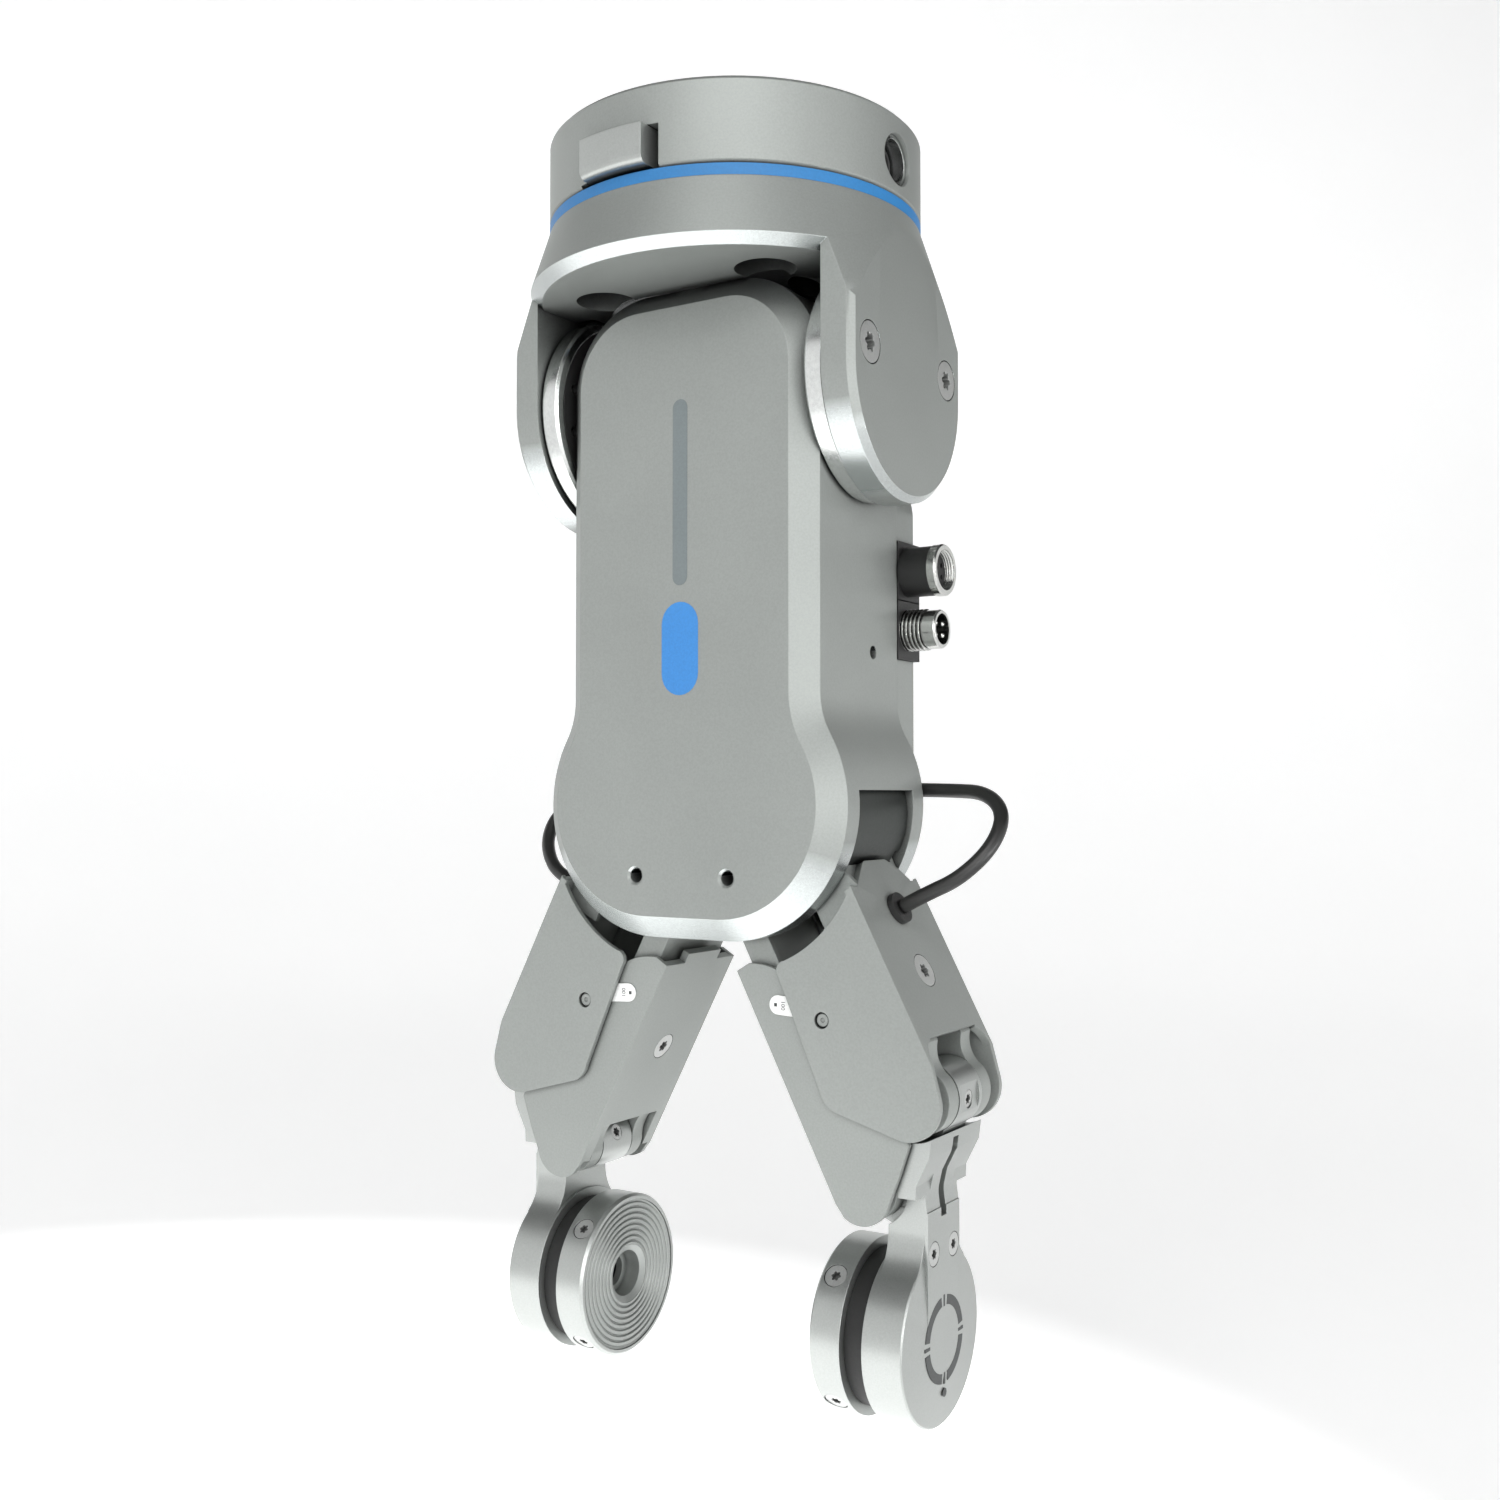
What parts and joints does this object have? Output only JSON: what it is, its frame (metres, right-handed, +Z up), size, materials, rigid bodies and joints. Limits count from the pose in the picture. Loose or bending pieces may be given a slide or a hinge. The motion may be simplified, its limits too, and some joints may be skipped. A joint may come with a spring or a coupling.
{
  "type": "two-finger parallel gripper",
  "caption": "Electric two-finger parallel gripper with a tilting fork bracket, quick-change flange, parallelogram finger links and round sensing fingertip pads.",
  "frame": {"origin": "centre of the quick-change disc's top face, where it meets the robot flange", "axes": "+Z up into the robot flange, +X along the opening direction of the fingers, -Y the gripper's front"},
  "size_m": [0.1044, 0.0782, 0.233],
  "materials": {
    "bead_blasted_aluminium": "satin, bead blasted and clear anodised",
    "turned_aluminium": "fine turned",
    "blue_seal": "moulded, satin",
    "screw_steel": "machined",
    "spring_steel": "bright drawn",
    "black_plastic": "moulded, fine texture",
    "nickel": "nickel plated",
    "gold_contact": "gold plated",
    "dark_steel": "black oxide, oiled",
    "motor_steel": "drawn can",
    "board_green": "solder mask",
    "label_white": "printed film",
    "cable_jacket": "extruded",
    "lens_dark": "polished"
  },
  "bodies": {
    "bracket": {"changer_disc": "bead_blasted_aluminium", "port_bush": "turned_aluminium", "contact_block": "black_plastic", "latch_spring": "spring_steel", "changer_seal_ring": "blue_seal", "tilt_bracket": "bead_blasted_aluminium", "ear_screws": "screw_steel", "bracket_screws": "screw_steel"},
    "latch": {"latch_button": "bead_blasted_aluminium"},
    "housing": {"housing": "bead_blasted_aluminium", "tilt_discs": "turned_aluminium", "index_plates": "black_plastic", "rear_cover": "bead_blasted_aluminium", "rear_cover_screws": "screw_steel", "connector_flanges": "black_plastic", "socket_body": "black_plastic", "socket_ring": "nickel", "connector_inserts": "black_plastic", "plug_body": "nickel", "plug_pins": "gold_contact", "motor": "motor_steel", "gearhead": "motor_steel", "worm_bearings": "motor_steel", "circuit_board": "board_green", "upper_pins": "screw_steel", "cable_glands": "black_plastic", "right_sensor_cable": "cable_jacket", "left_sensor_cable": "cable_jacket"},
    "worm": {"worm_shaft": "dark_steel"},
    "right_outer": {"right_outer_link": "bead_blasted_aluminium", "right_worm_wheel": "dark_steel", "right_outer_link_screw": "screw_steel", "right_grommet": "black_plastic"},
    "right_inner": {"right_inner_link": "bead_blasted_aluminium", "right_inner_link_screw": "screw_steel", "right_scale_label": "label_white"},
    "right_tip": {"right_tip_carrier": "bead_blasted_aluminium", "right_tip_screws": "screw_steel", "right_lower_pins": "screw_steel", "right_sensor_core": "black_plastic", "right_bezel_ring": "turned_aluminium", "right_grip_pad": "turned_aluminium", "right_eyelet": "turned_aluminium", "right_window_lens": "lens_dark"},
    "left_outer": {"left_outer_link": "bead_blasted_aluminium", "left_worm_wheel": "dark_steel", "left_outer_link_screw": "screw_steel", "left_grommet": "black_plastic"},
    "left_inner": {"left_inner_link": "bead_blasted_aluminium", "left_inner_link_screw": "screw_steel", "left_scale_label": "label_white"},
    "left_tip": {"left_tip_carrier": "bead_blasted_aluminium", "left_tip_screws": "screw_steel", "left_lower_pins": "screw_steel", "left_sensor_core": "black_plastic", "left_bezel_ring": "turned_aluminium", "left_grip_pad": "turned_aluminium", "left_eyelet": "turned_aluminium", "left_window_lens": "lens_dark"}
  },
  "joints": [
    {"name": "latch_press", "type": "slide", "parent": "bracket", "child": "latch", "axis": [0, 1, 0], "range_m": [0, 0.002], "stiffness_N_per_m": 400, "springref_m": -0.004, "deforming": ["latch_spring"]},
    {"name": "bracket_tilt", "type": "hinge", "parent": "bracket", "child": "housing", "pos_m": [0, 0, -0.0488], "axis": [1, 0, 0], "range_deg": [-90, 30]},
    {"name": "finger_open", "type": "hinge", "parent": "housing", "child": "right_outer", "pos_m": [0.01718, 0, -0.1266], "axis": [0, -1, 0], "range_deg": [-26.8, 38.4], "deforming": ["right_sensor_cable"]},
    {"name": "right_inner_swing", "type": "hinge", "parent": "housing", "child": "right_inner", "pos_m": [0.00768, 0, -0.1431], "axis": [0, -1, 0], "range_deg": [-26.9, 38.5]},
    {"name": "right_tip_level", "type": "hinge", "parent": "right_outer", "child": "right_tip", "pos_m": [0.04258, 0, -0.17539], "axis": [0, -1, 0], "range_deg": [-38.5, 26.9]},
    {"name": "left_outer_swing", "type": "hinge", "parent": "housing", "child": "left_outer", "pos_m": [-0.01718, 0, -0.1266], "axis": [0, 1, 0], "range_deg": [-26.9, 38.5], "deforming": ["left_sensor_cable"]},
    {"name": "left_inner_swing", "type": "hinge", "parent": "housing", "child": "left_inner", "pos_m": [-0.00768, 0, -0.1431], "axis": [0, 1, 0], "range_deg": [-26.9, 38.5]},
    {"name": "left_tip_level", "type": "hinge", "parent": "left_outer", "child": "left_tip", "pos_m": [-0.04258, 0, -0.17539], "axis": [0, 1, 0], "range_deg": [-38.5, 26.9]},
    {"name": "worm_spin", "type": "hinge", "parent": "housing", "child": "worm", "pos_m": [0, 0, -0.12], "axis": [0, 0, 1], "range_deg": [-886, 1269]}
  ],
  "couplings": [
    {"joint": "right_inner_swing", "follows": "finger_open", "ratio": 1},
    {"joint": "right_tip_level", "follows": "finger_open", "ratio": -1},
    {"joint": "left_outer_swing", "follows": "finger_open", "ratio": 1},
    {"joint": "left_inner_swing", "follows": "finger_open", "ratio": 1},
    {"joint": "left_tip_level", "follows": "finger_open", "ratio": -1},
    {"joint": "worm_spin", "follows": "finger_open", "ratio": 33}
  ]
}
